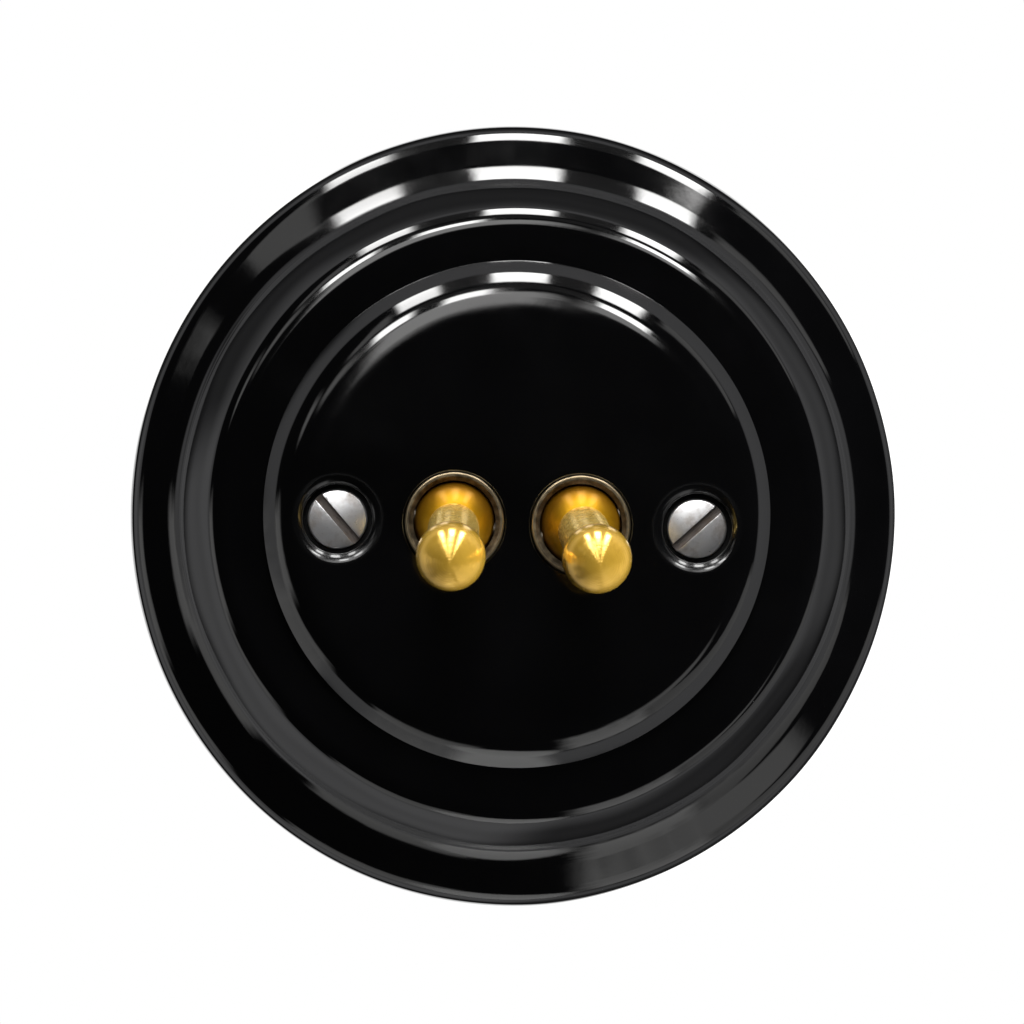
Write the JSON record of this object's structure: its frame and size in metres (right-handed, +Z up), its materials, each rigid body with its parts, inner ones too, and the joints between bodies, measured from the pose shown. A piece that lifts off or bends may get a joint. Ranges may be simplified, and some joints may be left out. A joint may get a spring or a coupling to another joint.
{
  "type": "roller shutter switch",
  "caption": "Round black glazed porcelain flush-mounted toggle switch with brass ball levers and a slotted-screw cover, for driving a roller shutter up and down.",
  "frame": {"origin": "middle of the mounting strap on the wall plane", "axes": "+Z up the wall, +X to the right as seen by the user, -Y out of the wall towards the user"},
  "size_m": [0.1, 0.0616, 0.1],
  "materials": {
    "black_glaze": "gloss",
    "satin_steel": "satin",
    "zinc_steel": "satin",
    "polished_brass": "gloss",
    "aged_brass": "satin",
    "nickel": "satin",
    "pin_steel": "satin",
    "terminal_brass": "satin",
    "rocker_copper": "satin",
    "contact_silver": "satin",
    "moulded_body": "satin",
    "plated_screw": "satin"
  },
  "bodies": {
    "switch": {"frame_ring": "black_glaze", "cover_disc": "black_glaze", "cover_screws": "satin_steel", "mounting_strap": "zinc_steel", "cover_pillars": "zinc_steel", "body_screws": "zinc_steel", "base_screws": "zinc_steel", "earth_screw": "zinc_steel", "earth_clamp": "zinc_steel", "left_bush": "aged_brass", "right_bush": "aged_brass", "bush_nuts": "nickel", "left_pivot_pin": "pin_steel", "right_pivot_pin": "pin_steel", "left_common_terminal": "terminal_brass", "left_upper_terminal": "terminal_brass", "left_lower_terminal": "terminal_brass", "right_common_terminal": "terminal_brass", "right_upper_terminal": "terminal_brass", "right_lower_terminal": "terminal_brass", "fixed_tips": "contact_silver", "switch_body": "moulded_body", "terminal_base": "moulded_body", "terminal_screws": "plated_screw", "terminal_clamps": "plated_screw"},
    "left_toggle": {"left_lever": "polished_brass", "left_spring": "pin_steel", "left_plunger": "terminal_brass"},
    "right_toggle": {"right_lever": "polished_brass", "right_spring": "pin_steel", "right_plunger": "terminal_brass"},
    "left_contact": {"left_rocker": "rocker_copper", "left_rocker_tips": "contact_silver"},
    "right_contact": {"right_rocker": "rocker_copper", "right_rocker_tips": "contact_silver"}
  },
  "joints": [
    {"name": "left_lever_hinge", "type": "hinge", "parent": "switch", "child": "left_toggle", "pos_m": [-0.00792, -0.01823, 0], "axis": [-0.989, 0, 0.1478], "range_deg": [0, 26.4]},
    {"name": "left_rocker_hinge", "type": "hinge", "parent": "switch", "child": "left_contact", "pos_m": [-0.00792, 0.00355, 0], "axis": [1, 0, 0], "range_deg": [0, 16]},
    {"name": "right_lever_hinge", "type": "hinge", "parent": "switch", "child": "right_toggle", "pos_m": [0.00792, -0.01823, 0], "axis": [-0.9511, 0, -0.309], "range_deg": [0, 26.4]},
    {"name": "right_rocker_hinge", "type": "hinge", "parent": "switch", "child": "right_contact", "pos_m": [0.00792, 0.00355, 0], "axis": [1, 0, 0], "range_deg": [0, 16]}
  ],
  "couplings": [
    {"joint": "left_rocker_hinge", "follows": "left_lever_hinge", "ratio": 0.60606},
    {"joint": "right_rocker_hinge", "follows": "right_lever_hinge", "ratio": 0.60606}
  ]
}
